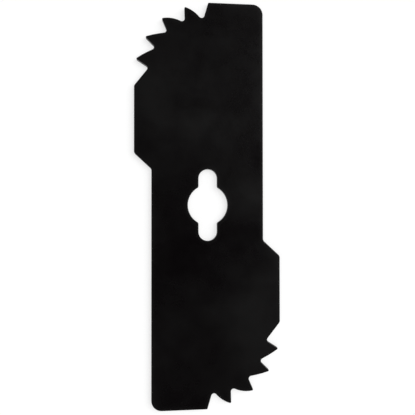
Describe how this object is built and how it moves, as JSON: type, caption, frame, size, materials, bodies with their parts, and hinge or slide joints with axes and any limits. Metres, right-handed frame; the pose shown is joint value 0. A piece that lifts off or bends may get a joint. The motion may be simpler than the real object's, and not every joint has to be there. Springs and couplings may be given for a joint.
{
  "type": "grass trimmer blade",
  "caption": "Flat double-ended steel blade with saw teeth round opposite corners, stepped shoulders and a keyed arbor hole, for cutting grass along lawn edges.",
  "frame": {"origin": "centre of the arbor hole, on the underside", "axes": "+Y along the blade, +X across it, +Z along the arbor and out of the upper face"},
  "size_m": [0.0684, 0.1906, 0.002],
  "materials": {
    "black_finish": "thin satin black paint on stamped steel"
  },
  "bodies": {
    "root": {"blade": "black_finish"}
  },
  "joints": []
}
